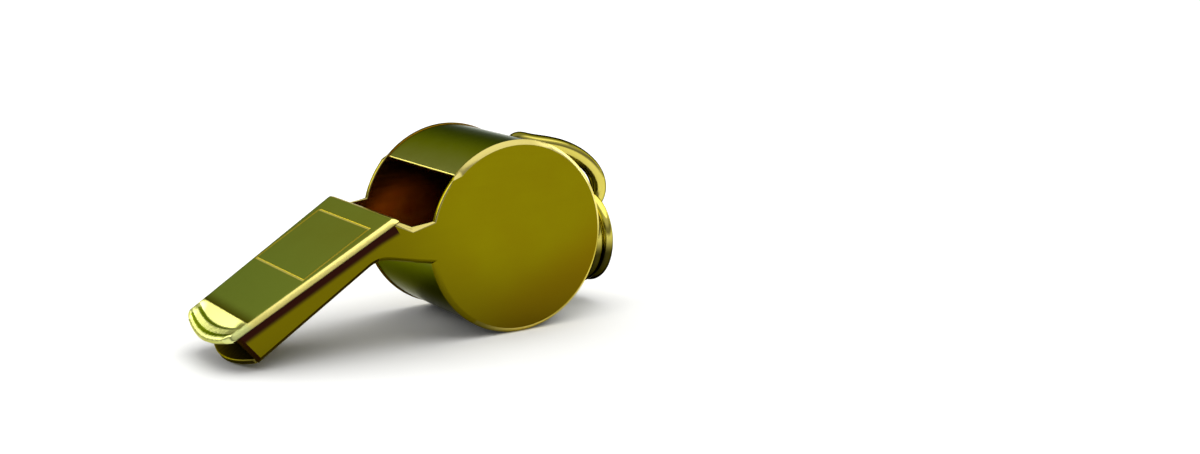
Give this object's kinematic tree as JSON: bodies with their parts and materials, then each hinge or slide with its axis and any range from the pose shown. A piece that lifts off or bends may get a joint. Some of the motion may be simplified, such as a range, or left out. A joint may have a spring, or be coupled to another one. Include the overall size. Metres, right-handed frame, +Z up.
{
  "type": "pea whistle",
  "caption": "Soldered brass pea whistle with a round barrel, flat tapered mouthpiece, sound window, wire loop with split ring and a loose cork pea inside.",
  "frame": {"origin": "middle of the whistle's box, on the table that the barrel and the mouthpiece's tip rest on", "axes": "+X from the mouthpiece's tip to the split ring, +Y across the barrel to the left side plate, +Z up"},
  "size_m": [0.05, 0.017, 0.021],
  "materials": {
    "barrel_brass": "polished, with an olive tone",
    "plate_brass": "polished",
    "roof_brass": "polished, with an engraved frame",
    "wire_brass": "polished wire",
    "cork": "pressed natural cork"
  },
  "bodies": {
    "whistle_body": {"barrel_band": "barrel_brass", "side_plate_right": "plate_brass", "side_plate_left": "plate_brass", "mouthpiece_floor": "plate_brass", "mouthpiece_roof": "roof_brass", "windway_bar": "barrel_brass", "lanyard_loop": "wire_brass"},
    "ring": {"split_ring": "wire_brass"},
    "pea": {"cork_pea": "cork"}
  },
  "joints": [
    {"name": "ring_swing", "type": "hinge", "parent": "whistle_body", "child": "ring", "pos_m": [0.02089, 0, 0.01253], "axis": [0, -1, 0], "range_deg": [0, 120]},
    {"name": "pea_roll", "type": "hinge", "parent": "whistle_body", "child": "pea", "pos_m": [0.00854, 0, 0.0105], "axis": [0, 1, 0], "continuous": true}
  ]
}
